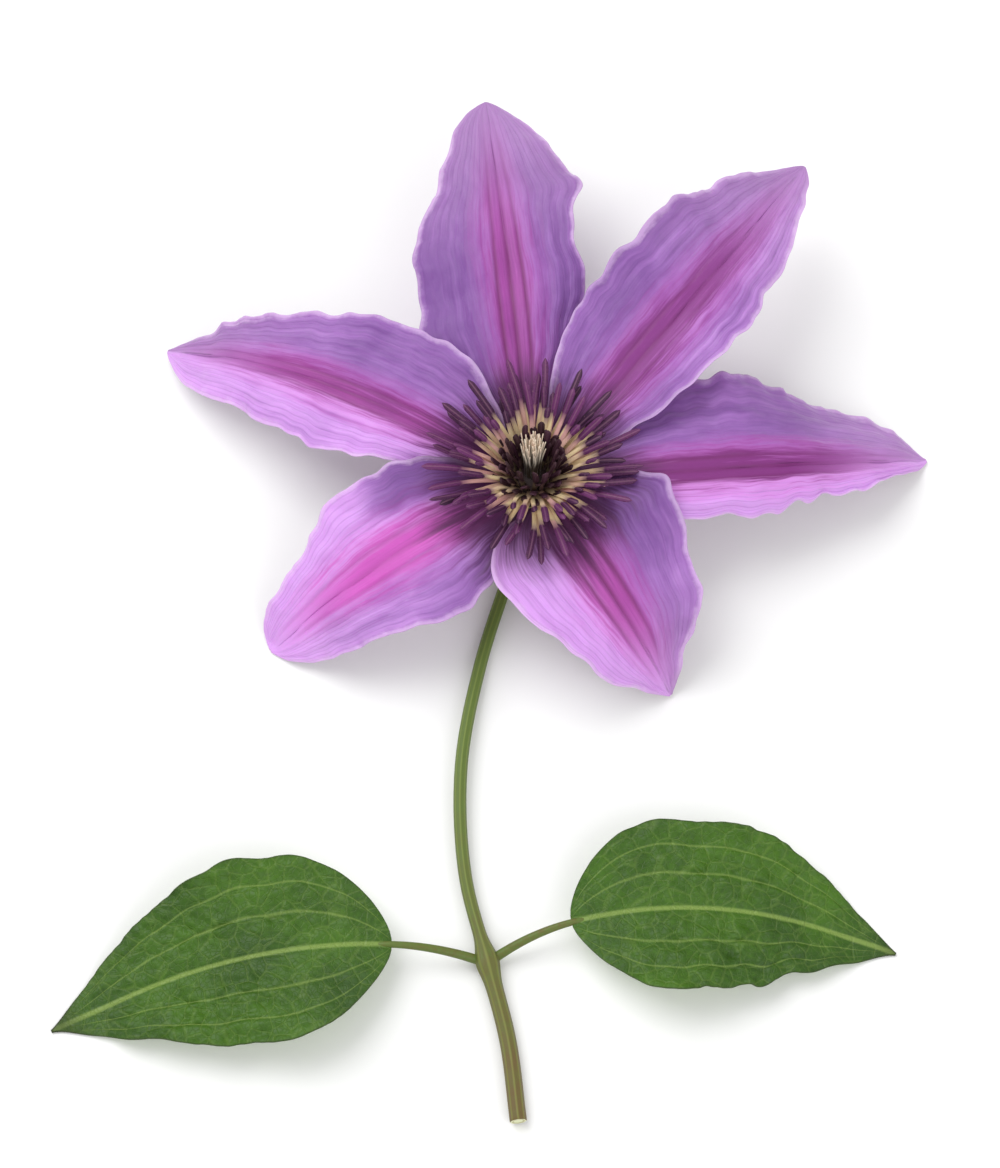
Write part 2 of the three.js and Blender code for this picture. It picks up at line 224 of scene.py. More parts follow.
# ---- closed skins ----
class Skin:
    """Gathers closed surfaces in millimetres, with marks, which are numbers that the finishes read at each
    corner, and builds them into one piece."""

    def __init__(self):
        self.points, self.faces, self.marks, self.count = [], [], [], 0

    def add(self, points, faces, marks):
        self.points.append(points)
        for part in faces:
            self.faces += (part + self.count).tolist()
        self.marks.append(marks)
        self.count += len(points)

    def sheet(self, middle, above, below, **marks):
        """A thin sheet round a grid of points [along, across]. Its upper face lies above the grid and its
        lower face below it, along the grid's normals, and a rim joins them. Adds the mark side, 1 on the
        upper."""
        normal, shape = normals(middle), middle.shape[:2]
        lift = [np.broadcast_to(above, shape)[..., None], -np.broadcast_to(below, shape)[..., None]]
        points = np.concatenate([(middle + normal * h).reshape(-1, 3) for h in lift])
        under = shape[0] * shape[1]
        corner = np.arange(under).reshape(shape)
        upper = np.stack([corner[:-1, :-1], corner[1:, :-1], corner[1:, 1:], corner[:-1, 1:]], -1)
        upper = upper.reshape(-1, 4)
        ring = np.concatenate([corner[0, :-1], corner[:-1, -1], corner[-1, :0:-1], corner[:0:-1, 0]])
        onward = np.roll(ring, -1)
        rim = np.stack([ring, onward, onward + under, ring + under], -1)
        both = {name: np.tile(np.broadcast_to(mark, shape).ravel(), 2) for name, mark in marks.items()}
        both["side"] = np.repeat((1.0, 0.0), under)
        self.add(points, [upper, upper[:, ::-1] + under, rim], both)

    def rod(self, centre, left, up, wide, thick, **marks):
        """A closed rod whose ring k is centre + left wide cos(a) + up thick sin(a). wide and thick hold one
        number a ring, or one for each corner. A corner at each end's centre closes it."""
        rings = len(centre)
        wide, thick = (np.atleast_2d(size.T).T for size in (wide, thick))
        sides = max(wide.shape[1], thick.shape[1], 10)
        angle = np.arange(sides) * 2 * np.pi / sides
        points = centre[:, None] + left[:, None] * (wide * np.cos(angle))[..., None]
        points = points + up[:, None] * (thick * np.sin(angle))[..., None]
        corner = np.arange(rings * sides).reshape(rings, sides)
        onward = np.roll(corner, -1, axis=1)
        wall = np.stack([corner[:-1], onward[:-1], onward[1:], corner[1:]], -1).reshape(-1, 4)
        first, last = rings * sides, rings * sides + 1
        foot = np.stack([np.full(sides, first), onward[0], corner[0]], -1)
        head = np.stack([np.full(sides, last), corner[-1], onward[-1]], -1)
        shape = (rings, sides)
        full = {}
        for name, mark in marks.items():
            mark = np.broadcast_to(np.atleast_2d(np.asarray(mark, float).T).T, shape)
            full[name] = np.concatenate([mark.ravel(), [mark[0].mean(), mark[-1].mean()]])
        points = np.concatenate([points.reshape(-1, 3), centre[[0, -1]]])
        self.add(points, [wall, foot, head], full)

    def move(self, compass, place):
        """Turns everything gathered so far about +Z and carries it to a place."""
        self.points = [turned(part, compass) + place for part in self.points]

    def build(self, node, slot, finish, replaces=True):
        """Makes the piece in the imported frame, in metres, and lets it stand for its CAD node."""
        mesh = bpy.data.meshes.new("grown_" + node)
        mesh.from_pydata((np.concatenate(self.points) + AXIS) * MM, [], self.faces)
        for name in self.marks[0]:
            attribute = mesh.attributes.new(name, "FLOAT", "POINT")
            values = np.concatenate([marks[name] for marks in self.marks])
            attribute.data.foreach_set("value", values.astype(np.float32))
        mesh.shade_smooth()
        mesh.materials.append(finish)
        piece = bpy.data.objects.new("grown_" + node, mesh)
        bpy.context.scene.collection.objects.link(piece)
        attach(piece, "root")
        if replaces:
            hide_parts(node)
        return piece


# ---- shader maths ----
def tint(code):
    """Scene-linear red, green and blue of a 24-bit screen colour."""
    screen = [(code >> shift & 255) / 255 for shift in (16, 8, 0)]
    return tuple(c / 12.92 if c <= 0.04045 else ((c + 0.055) / 1.055) ** 2.4 for c in screen)


class Wire:
    """The output of a shader node. Arithmetic with numbers and other wires adds Math nodes."""

    def __init__(self, finish, socket):
        self.finish, self.socket = finish, socket

    def maths(self, operation, *operands):
        return self.finish.node("Math", dict(enumerate(operands)), operation=operation)

    def __add__(self, other):
        return self.maths("ADD", self, other)

    def __sub__(self, other):
        return self.maths("SUBTRACT", self, other)

    def __rsub__(self, other):
        return self.maths("SUBTRACT", other, self)

    def __mul__(self, other):
        return self.maths("MULTIPLY", self, other)

    __radd__, __rmul__ = __add__, __mul__

    def __abs__(self):
        return self.maths("ABSOLUTE", self)

    def cycle(self):
        """The wire's share of the way from one whole number to the next."""
        return self.maths("FRACT", self)

    def between(self, low, high):
        """0 at low and 1 at high, with a smooth step between. low may be the greater."""
        sockets = {"Value": self, "From Min": low, "From Max": high}
        return self.finish.node("MapRange", sockets, interpolation_type="SMOOTHSTEP")

    def line(self, place, width):
        """1 where the wire equals place, falling smoothly to 0 at a distance of width."""
        return abs(self - place).between(width, 0)


class Finish:
    """A material that is being made."""

    def __init__(self, name):
        self.material = bpy.data.materials.new(name)
        self.material.use_nodes = True
        self.tree = self.material.node_tree
        self.tree.nodes.clear()

    def node(self, kind, sockets, output=0, **settings):
        """Adds a node: its settings first, then the values or wires of its sockets, by name or number."""
        made = self.tree.nodes.new("ShaderNode" + kind)
        for name, value in settings.items():
            setattr(made, name, value)
        for key, value in sockets.items():
            if isinstance(value, Wire):
                self.tree.links.new(value.socket, made.inputs[key])
            else:
                made.inputs[key].default_value = value
        return Wire(self, made.outputs[output])

    def mark(self, name):
        return self.node("Attribute", {}, output="Fac", attribute_name=name)

    def place(self):
        return self.node("TexCoord", {}, output="Object")

    def vector(self, x, y, z):
        return self.node("CombineXYZ", {"X": x, "Y": y, "Z": z})

    def noise(self, vector, scale, detail=2.0, rough=0.5):
        sockets = {"Vector": vector, "Scale": scale, "Detail": detail, "Roughness": rough}
        return self.node("TexNoise", sockets)

    def network(self, vector, scale):
        """Distance to the nearest border of irregular cells, 0 on the border."""
        return self.node("TexVoronoi", {"Vector": vector, "Scale": scale}, feature="DISTANCE_TO_EDGE")

    def blend(self, a, b, share):
        """Colour a where share is 0 and b where it is 1. A Mix node takes its factor at socket 0 and its
        colours at 6 and 7, and gives its colour at 2."""
        a, b = (c if isinstance(c, Wire) else (*c, 1) for c in (a, b))
        return self.node("Mix", {0: share, 6: a, 7: b}, output=2, data_type="RGBA")

    def bump(self, height, depth):
        return self.node("Bump", {"Height": height, "Distance": depth, "Strength": 1.0})

    def surface(self, **sockets):
        """Ends the material with a Principled shader whose sockets are given, _ standing for a blank."""
        sockets = {name.replace("_", " "): value for name, value in sockets.items()}
        shader = self.node("BsdfPrincipled", sockets)
        end = self.tree.nodes.new("ShaderNodeOutputMaterial")
        self.tree.links.new(shader.socket, end.inputs["Surface"])
        return self.material


# ---- finishes ----
def sepal_finish(look):
    """Violet tissue with fine veins, its paleness partly painted light and shade, a feathered magenta bar
    with three veins, pale margins that are partly a painted highlight, and a dark heart of painted shade
    under the stamens above; paler tissue with a light stripe and a green foot below."""
    paint = Finish("sepal_tissue")
    marks = ("run", "share", "over", "bar", "lane", "edge", "side", "own", "flush", "glow", "ink", "vein")
    run, share, over, bar, lane, edge, side, own, flush, glow, ink, vein = map(paint.mark, marks)
    spot = paint.place()
    streaks = paint.noise(paint.vector(run * 0.05, over * 9, own * 7), 1.0, 4.0, 0.6)
    hairs = paint.noise(paint.vector(run * 0.1, over * 44, own * 5), 1.0, 3.0)
    clouds = paint.noise(spot, 48, 3.0)
    mottle = paint.noise(spot, 420, 3.0, 0.6)
    ribs = (lane * 8 + streaks * 0.6).cycle().line(0.5, 0.2)

    shade = clouds * 0.8 + streaks * 0.8 + hairs * 0.35 + mottle * 0.15
    # The paleness mark lightens and darkens the tissue here: partly its own colour, partly painted light and
    # shade.
    tissue = paint.blend(look.tissue_dark, look.tissue, (shade + flush * 0.5).between(0.8, 1.3))
    # Where the tissue pales: partly its own colour and partly painted light.
    pale = flush + (clouds - 0.5) * 1.2 + (streaks - 0.5) * 1.4 + share.between(0.7, 1) * glow * glow * 1.5
    tissue = paint.blend(tissue, look.blush, share.between(0.45, 1) * 0.45)
    tissue = paint.blend(tissue, look.pale, pale.between(0.15, 1.15) * 0.85)
    tissue = paint.blend(tissue, look.vein, ribs * 0.2 + hairs.between(0.55, 0.75) * 0.15)
    feather = bar + (streaks - 0.5) * 1.8 + (hairs - 0.5) * 1.1
    halo = feather.between(2.1, 0.6) * share.between(1.1, 0.5) * ink * 0.38
    upper = paint.blend(tissue, look.bar_bright, halo)
    core = paint.blend(look.bar, look.bar_bright, glow + (clouds - 0.5) * 0.6 + (hairs - 0.5) * 0.5)
    upper = paint.blend(upper, core, feather.between(1.25, 0.35) * share.between(1, 0.5) * ink)
    threads = (bar.line(0, 0.24) + bar.line(0.58, 0.2)) * (hairs * 0.9 + 0.25) * share.between(0.98, 0.4)
    upper = paint.blend(upper, look.bar_vein, threads * vein * 0.9)
    # A pale margin: partly the tissue's own colour and partly a painted highlight.
    rim = (edge + (mottle - 0.5) * 1.6 + (streaks - 0.5) * 2.4).between(look.margin_width / MM, 0.1)
    upper = paint.blend(upper, look.margin, rim * (clouds * 0.8 + 0.15) * share.between(1.02, 0.85))
    # The dark heart: painted shade at the foot of each sepal, under the stamens.
    heart_shade = run + (streaks - 0.5) * 14 + (hairs - 0.5) * 11 + bar * 2.5
    heart_shade = heart_shade.between(look.heart_shade_reach / MM, look.heart_shade_reach / MM * 0.4)
    upper = paint.blend(upper, look.heart_shade, heart_shade * 0.9)

    back_shade = (streaks * 0.6 + clouds * 0.4).between(0.35, 0.65)
    back = paint.blend(look.underside, look.tissue, back_shade * 0.5)
    back = paint.blend(back, look.vein, ribs * 0.2)
    back = paint.blend(back, look.stripe, (bar + (streaks - 0.5) * 0.5).between(1.15, 0.75) * 0.85)
    back = paint.blend(back, look.back_vein, threads * 0.5)
    back = paint.blend(back, look.neck, run.between(16, 1) * 0.8)
    colour = paint.blend(back, upper, side.between(0.02, 0.2))

    grain = paint.noise(spot, 900, 3.0, 0.6)
    relief = grain * 0.35 + mottle * 0.3 + (hairs * 0.5 - ribs * 0.3 - threads * 0.4) * share.between(1, 0.9)
    return paint.surface(
        Base_Color=colour, Roughness=0.42 + mottle * 0.2, Normal=paint.bump(relief, look.grain),
        Specular_IOR_Level=0.35, Subsurface_Weight=0.2, Subsurface_Radius=(1, 0.5, 0.9),
        Subsurface_Scale=0.6 * MM, Sheen_Weight=0.15, Sheen_Roughness=0.45, Sheen_Tint=(0.9, 0.75, 1, 1),
    )


def stamen_finish(look):
    """A cream or pinkish filament, darker at its foot, and a maroon anther of two lobes with a paler seam and
    specks of pollen. The short inner stamens are dark brown."""
    paint = Finish("stamen_tissue")
    t, lobe, own, inner = map(paint.mark, ("t", "lobe", "own", "inner"))
    grain = paint.noise(paint.place(), 2600)
    thread = paint.blend(look.filament, look.filament_pink, own.between(0.35, 0.9))
    thread = paint.blend(thread, look.filament_foot, t.between(0.25, 0) * 0.7)
    thread = paint.blend(thread, look.anther_light, t.between(0.42, 0.55) * 0.6)
    thread = paint.blend(thread, look.inner_anther, inner * 0.75)
    anther = paint.blend(look.anther, look.anther_light, (grain * 0.7 + own * 0.6).between(0.35, 1.05))
    anther = paint.blend(anther, look.inner_anther, inner * 0.8)
    anther = paint.blend(anther, look.seam, lobe.between(0.3, 0.1) * (0.35 - inner * 0.25))
    anther = paint.blend(anther, look.pollen, grain.between(0.62, 0.75) * lobe.between(0.8, 1) * 0.4)
    return paint.surface(
        Base_Color=paint.blend(thread, anther, t.between(0.53, 0.585)), Roughness=0.45 + grain * 0.25,
        Normal=paint.bump(grain, 0.08 * MM), Specular_IOR_Level=0.35,
    )


def pistil_finish(look):
    """Silky cream styles, brown in their lower half and faintly tanned at the tips."""
    paint = Finish("style_silk")
    t, own = map(paint.mark, ("t", "own"))
    silk = paint.noise(paint.vector(t * 3, own * 90, 0), 1.0, 3.0)
    colour = paint.blend(look.style_foot, look.style, t.between(0.48, 0.85))
    colour = paint.blend(colour, look.style_tip, t.between(0.75, 1) * silk.between(0.3, 0.7))
    return paint.surface(
        Base_Color=colour, Roughness=0.5 + silk * 0.2, Sheen_Weight=0.35, Sheen_Roughness=0.35)


def stalk_finish(look):
    """A dark crown that ends just below the rim, ribbed green bark that browns in freckles towards the cut,
    and a pale cut face with a darker ring."""
    paint = Finish("stalk_bark")
    run, rib, cut, radial = map(paint.mark, ("run", "rib", "cut", "radial"))
    spot = paint.place()
    fibres = paint.noise(paint.vector(run * 0.25, rib * 2, radial), 1.0, 4.0, 0.6)
    down = paint.noise(spot, 3000)
    freckles = paint.noise(spot, 480, 4.0, 0.65)
    bark = paint.blend(look.stalk_top, look.stalk, run.between(6, 40))
    brown = (run * 0.009 + fibres * 0.5 + freckles * 0.6).between(1.1, 2.2)
    bark = paint.blend(bark, look.stalk_brown, brown * 0.85)
    bark = paint.blend(bark, look.stalk_top, rib.between(0.55, 1) * 0.3)
    bark = paint.blend(bark, look.crown, run.between(DOME + 1.4, DOME + 0.4))
    face = paint.blend(look.pith, look.wood, radial.line(0.68, 0.2) * 0.8)
    return paint.surface(
        Base_Color=paint.blend(bark, face, cut), Roughness=0.42 + fibres * 0.25,
        Normal=paint.bump(fibres * 0.6 + down * 0.25, 0.15 * MM), Specular_IOR_Level=0.4,
    )


def leaf_finish(look):
    """Dark green above with paler sunken veins and a fine network, paler and duller below, with a thin dark
    margin, and a petiole like the stalk."""
    paint = Finish("leaf_tissue")
    run, over, across, edge, side, stem = map(paint.mark, ("run", "over", "across", "edge", "side", "stem"))
    spot = paint.place()
    clouds = paint.noise(spot, 60, 3.0)
    grain = paint.noise(spot, 1100)
    warp = (clouds - 0.5) * 2
    flat = paint.vector(run * 0.3 + warp, across * 0.3, side)
    net = paint.network(flat, 1.0).between(0.09, 0)
    fine_net = paint.network(flat, 3.1).between(0.11, 0)
    reach = abs(over) + warp * 0.012
    midrib = abs(across).between(0.75, 0.2)
    nerves = (reach.line(LEAF_NERVES[0], 0.03) + reach.line(LEAF_NERVES[1], 0.022)) * edge.between(0.2, 1.5)

    upper = paint.blend(look.leaf_deep, look.leaf, (clouds * 0.9 + grain * 0.3).between(0.35, 0.85))
    upper = paint.blend(upper, look.leaf_vein, net * 0.1 + fine_net * 0.04 + nerves * 0.3)
    upper = paint.blend(upper, look.leaf_vein, midrib * 0.55)
    lower = paint.blend(look.leaf_back, look.leaf, (clouds + grain * 0.4).between(0.4, 1.1) * 0.5)
    lower = paint.blend(lower, look.leaf_rib, midrib * 0.9 + nerves * 0.6 + net * 0.3)
    blade = paint.blend(lower, upper, side.between(0.35, 0.65))
    rim = edge.between(0.45, 0.05) * 0.5 + run.between(60, 68) * 0.6
    blade = paint.blend(blade, look.leaf_edge, rim)
    handle = paint.blend(look.stalk, look.stalk_brown, (grain * 0.6 + clouds * 0.7).between(0.5, 1) * 0.55)
    relief = grain * 0.18 - net * 0.5 - fine_net * 0.3 - nerves * 0.3
    return paint.surface(
        Base_Color=paint.blend(blade, handle, stem), Roughness=0.34 + grain * 0.2 + (1 - side) * 0.2,
        Normal=paint.bump(relief, 0.18 * MM), Specular_IOR_Level=0.3,
    )


def plain_finish(name, colour):
    """One colour with a dull, even surface."""
    return Finish(name).surface(Base_Color=(*colour, 1), Roughness=0.9, Specular_IOR_Level=0.1)


# ---- the bloom ----
def sepal_skin(form, index, look):
    """One sepal. Its half width is a claw that fades with (1 - s)^3, plus the blade's outline, plus the tip's
    s^6, and irregular fields make its margin wander. The sheet bows along its length and rolls about its
    midrib. Its margins lift by cup v^2, sway by a wave that grows with |v|^3 and ruffle by irregular fields
    that die away from the edge, less near the foot, where the sepals overlap. A channel exp(-(x / w)^2) runs
    down the midrib, three veins are pressed in, and shallow pleats and dimples cover the rest. What would
    sink below the ground is laid on it."""
    length, crimp, dimple = form["length"], look.crimp / MM, look.dimple / MM
    rows, columns = BLADE_GRID
    t = np.linspace(0, 1, rows)
    closing = mix(t, np.sin(t * np.pi / 2), 0.4)  # the rows stand closer towards the tip
    s = (closing * (length + FOOT_SUNK) - FOOT_SUNK)[:, None] / length
    s, v = np.broadcast_arrays(s, np.linspace(-1, 1, columns))
    half, run = np.sign(v), s * length
    calm = outline(s, 0.5, 0.6, 0.6)
    point, _, left, up = bow(s, length, (form["rise"], form["fall"]), form["sweep"])
    pairs = (form[name] for name in ("wide", "belly", "point", "claw"))
    wide, belly, point_power, claw = (mix(*pair, (1 + v) / 2) for pair in pairs)
    width = wide * outline(s, belly, form["shoulder"], point_power)
    width = width + claw * (1 - s) ** 3 + SEPAL_TIP * s**6
    wander = crinkle(run, 40 * half, 7, index + 40)
    wander = wander + 2.5 * smooth(0.15, 0.5, s) * crinkle(run, 40 * half, 22, index + 60)
    width = width + look.ragged / MM * calm * wander
    x, edge = width * v, width * (1 - np.abs(v))

    wave = 2.2 * smooth(0.1, 0.5, s) * np.sin(2 * np.pi * (1.4 * s + 0.37 * index + np.where(v > 0, 0, 0.4)))
    ruffle = crinkle(run, 40 * half, 6, index + 100) * np.exp(-edge / 2.4)
    frill = crinkle(run, 40 * half, 2.4, index + 120) * np.exp(-edge / 0.9)
    buckle = crinkle(run, 40 * half, 17, index + 140) * np.exp(-edge / 8)
    free = mix(0.3, 1, smooth(0.25, 0.6, s)) * np.clip(width / 7, 0, 1)
    bar = form["band"] * (1.3 + 3.2 * np.sin(np.pi * np.clip(s, 0, 1) ** 0.75))
    veins = hump(x, 0.35) + 0.8 * hump(np.abs(x) - 0.58 * bar, 0.35)
    dimples = crinkle(0.45 * run, x, 3.6, index) + 0.3 * crinkle(0.5 * run, x, 1.7, index + 20)

    lift = width * np.where(v > 0, form["cup"][1], form["cup"][0]) * v**2
    lift = lift + wave * np.abs(v) ** 3 * outline(s, 0.5, 1, 1)
    lift = lift + crimp * calm * free * (ruffle + 0.3 * frill + 2.2 * buckle)
    pleats = np.cos(2 * np.pi * 3.3 * np.abs(v)) * smooth(0.1, 0.3, np.abs(v)) * smooth(0.95, 0.7, np.abs(v))
    swells = dimple * dimples * smooth(0, 0.35, np.abs(v)) + 0.22 * pleats
    lift = lift + calm * (swells - 0.75 * hump(x, 2.4) - 0.18 * veins)
    tilt = np.radians(form["roll"] * (1 - 0.4 * s))[..., None]
    side, normal = left * np.cos(tilt) + up * np.sin(tilt), up * np.cos(tilt) - left * np.sin(tilt)
    middle = point + side * x[..., None] + normal * lift[..., None]
    above = look.sepal_thick / MM / 2 * mix(1, 0.35, v**2)
    below = above + 0.22 * calm * veins
    middle[..., 2] = laid(middle[..., 2] - below + HEART) + below - HEART

    lane = np.clip((np.abs(x) - bar) / (width - bar + 0.01), 0, 1)
    # Each side's paleness, partly painted light and shade.
    flush, foot_shade = (mix(*form[name], smooth(-0.2, 0.2, v)) for name in ("flush", "foot_shade"))
    # Painted shade: the margins near the foot lose paleness.
    flush = flush - foot_shade * smooth(0.5, 0.25, s) * smooth(0.25, 0.6, np.abs(v))
    skin = Skin()
    skin.sheet(
        middle, above, below, run=run, share=s, over=v, bar=np.abs(x) / bar, lane=lane, edge=edge,
        own=index / len(SEPALS), flush=flush, glow=form["glow"], ink=form["ink"], vein=form["vein"],
    )
    skin.move(form["heading"], turned(np.array((RIM + GAP, 0, HEART)), form["heading"]))
    return skin


def dome(radius):
    """Height of the receptacle's dome above its rim."""
    return DOME * (1 - (radius / RIM) ** 2)


def stamen_plan(i):
    """Where stamen i stands and how it leans, from the innermost to the outermost."""
    inner, outer_whorl = i < INNER_STAMENS, i % 2 == 0
    share = i / INNER_STAMENS
    return dict(
        inner=inner, anther_at=0.4 if inner else 0.55, heading=i * GOLDEN_ANGLE,
        radius=math.sqrt(mix(3.2**2, 5.3**2, i / (STAMENS - 1))),
        length=mix(11.5, 13, share) if inner else 19.5 if outer_whorl else 16,
        pitch=(84, 80 - 6 * share) if inner else (36, 20) if outer_whorl else (52, 40),
        turn=8 * math.sin(2.4 * i),
    )


def add_stamen(skin, plan, random, look):
    """A flattened filament that widens into an anther. The half width steps from the filament's to the
    anther's and closes in a rounded tip, and the thickness is pinched by exp(-(cos a / 0.4)^2), which parts
    the anther into two lobes. The section twists steadily, and the line sways in half a sine."""
    anther_at = plan["anther_at"]
    t = np.concatenate([np.linspace(0, anther_at - 0.05, 9), np.linspace(anther_at - 0.02, 1, 20)])
    start = np.array((plan["radius"], 0, HEART + dome(plan["radius"]) + 2 * GAP))
    centre, along, left, up = bow(t, plan["length"], plan["pitch"], plan["turn"], start)
    sway, twist = random.uniform(-0.5, 0.5), random.uniform(-0.6, 0.6)
    centre = centre + left * (sway * np.sin(np.pi * t))[:, None]
    centre[0] -= along[0] * FOOT_SUNK
    roll = (twist * t)[:, None]
    left, up = left * np.cos(roll) + up * np.sin(roll), up * np.cos(roll) - left * np.sin(roll)
    anther = smooth(anther_at - 0.02, anther_at + 0.05, t)
    tip = np.sqrt(1.01 - smooth(0.9, 1, t) ** 2)
    fill = random.uniform(0.9, 1.1) / MM
    angle = np.arange(12) * np.pi / 6
    pinch = 1 - 0.45 * anther[:, None] * hump(np.cos(angle), 0.4)
    thread = look.filament_wide / 2 / MM * mix(1.15, 0.7, t)
    wide = mix(thread, look.anther_wide / 2 * fill, anther) * tip
    thick = mix(look.filament_thick / 2 / MM, look.anther_thick / 2 * fill, anther) * tip
    lobe = np.broadcast_to(np.abs(np.cos(angle)), pinch.shape)
    ripe = np.interp(t, (0, anther_at, 1), (0, 0.55, 1))
    spokes = [turned(part, plan["heading"]) for part in (centre, left, up)]
    skin.rod(*spokes, wide, thick[:, None] * pinch, t=ripe, lobe=lobe, own=random.uniform(),
             inner=plan["inner"])


def filler_skin(look):
    """Stamens between the counted ones, on golden-angle spirals: short dark ones that fill the ring round the
    pistil, and outer ones that lie lower the longer they are."""
    random = np.random.default_rng(5)
    skin = Skin()
    for i in range(look.inner_count):
        radius = math.sqrt(mix(2.2**2, 5.2**2, (i + 0.5) / look.inner_count))
        lean = 88 - 6 * radius
        plan = dict(inner=1, anther_at=0.3, heading=i * GOLDEN_ANGLE + 40, radius=radius,
                    length=random.uniform(7.5, 9.5) - 0.5 * radius, pitch=(lean + 6, lean - 10),
                    turn=random.uniform(-12, 12))
        add_stamen(skin, plan, random, look)
    for i in range(look.outer_count):
        radius = math.sqrt(mix(3.8**2, 5.3**2, (i + 0.5) / look.outer_count))
        share = random.uniform()
        lean = mix(52, 19, share) + random.uniform(-5, 6)
        plan = dict(inner=0, anther_at=mix(0.8, 0.58, share), heading=i * GOLDEN_ANGLE + 17, radius=radius,
                    length=mix(10.5, 17.5, share), pitch=(lean + 9, lean - 9), turn=random.uniform(-16, 16))
        add_stamen(skin, plan, random, look)
    return skin


def pistil_skin(look):
    """Styles on a golden-angle disc. Each starts steep, bows outward, the outer ones more, and sways in a
    sine wave. Its radius falls evenly along it, and the whole tuft leans towards +Y with the power 1.5 of
    the share of the way up."""
    random = np.random.default_rng(11)
    disc, lean = 1.3, 2.5
    skin = Skin()
    t = np.linspace(0, 1, 14)
    for i in range(look.style_count):
        place = math.sqrt((i + 0.5) / look.style_count)
        start = np.array((disc * place, 0, HEART + dome(disc * place) - 0.4))
        pitch = (92 - 4 * place, 90 - 15 * place + random.uniform(-6, 6))
        tall = random.uniform(10, 12) - 1.8 * place
        centre, _, left, up = bow(t, tall, pitch, random.uniform(-20, 20), start)
        centre = centre + left * (random.uniform(-0.35, 0.35) * np.sin(2 * np.pi * t))[:, None]
        size = mix(0.26, 0.12, t)
        spokes = [turned(part, i * GOLDEN_ANGLE) for part in (centre, left, up)]
        spokes[0][:, 1] += lean * t**1.5
        skin.rod(*spokes, size, size, t=t, own=random.uniform())
    return skin


# ---- the greenery ----
def stalk_skin():
    """One skin from the dome's pole down to the cut. The dome is a paraboloid, the neck's radius falls by
    exp(-(d / 2.2)^1.5) at depth d below the rim, and the stalk widens past the node, which is a bell. Eight
    shallow ribs run along it, and the cut is rings that sink a little in the middle."""
    sides = 48
    radius = np.linspace(0.3, RIM, 12)
    straight = np.stack([0 * radius, 0 * radius, HEART + dome(radius)], -1)
    drop = np.linspace(0.15, HEART - STALK[0, 2], 16)[:-1]
    neck = np.stack([0 * drop, 0 * drop, HEART - drop], -1)
    curve = spline(STALK, SPAN)
    path = np.vstack([straight, neck, curve])
    step = np.linalg.norm(np.diff(path, axis=0), axis=1)
    run = np.concatenate([[0], np.cumsum(step)])
    node_knot = int(np.argmin(np.linalg.norm(STALK - NODE, axis=1)))
    node_run = run[len(path) - len(curve) + SPAN * node_knot]

    below_rim = np.clip(run - DOME, 0, None)
    reach = run - node_run
    stem = mix(PEDUNCLE, STEM, smooth(-6, 6, reach)) + 0.85 * hump(reach, 3.3)
    size = stem + (RIM - PEDUNCLE) * np.exp(-((below_rim / 2.2) ** 1.5))
    size[: len(radius)] = radius
    along = np.gradient(path, axis=0)
    along /= np.linalg.norm(along, axis=1, keepdims=True)
    left = np.array((1, 0, 0)) - along * along[:, :1]
    left /= np.linalg.norm(left, axis=1, keepdims=True)
    up = np.cross(along, left)

    angle = np.arange(sides) * 2 * np.pi / sides
    ribbed = smooth(DOME + 4, DOME + 9, run)[:, None] * np.cos(8 * angle)
    size = size[:, None] * (1 + 0.035 * ribbed)
    rings = np.array((0.97, 0.93, 0.7, 0.45, 0.2))[:, None]
    ends = [np.repeat(part[-1:], len(rings), axis=0) for part in (path, left, up)]
    ends[0] = ends[0] + along[-1] * np.array((0.05, 0.07, 0.05, 0, -0.08))[:, None]
    path, left, up = (np.vstack(pair) for pair in zip((path, left, up), ends))
    wide = np.vstack([size, size[-1] * rings])
    on_face = np.concatenate([0 * run, [0, 1, 1, 1, 1]])
    face = np.vstack([np.ones((len(run), 1)), rings])
    ribbed = np.vstack([0.5 + 0.5 * ribbed, np.zeros((len(rings), sides))])
    run = np.concatenate([run, np.full(len(rings), run[-1])])
    skin = Skin()
    skin.rod(path, left, up, wide, wide, run=run, rib=ribbed, cut=on_face, radial=face)
    return skin


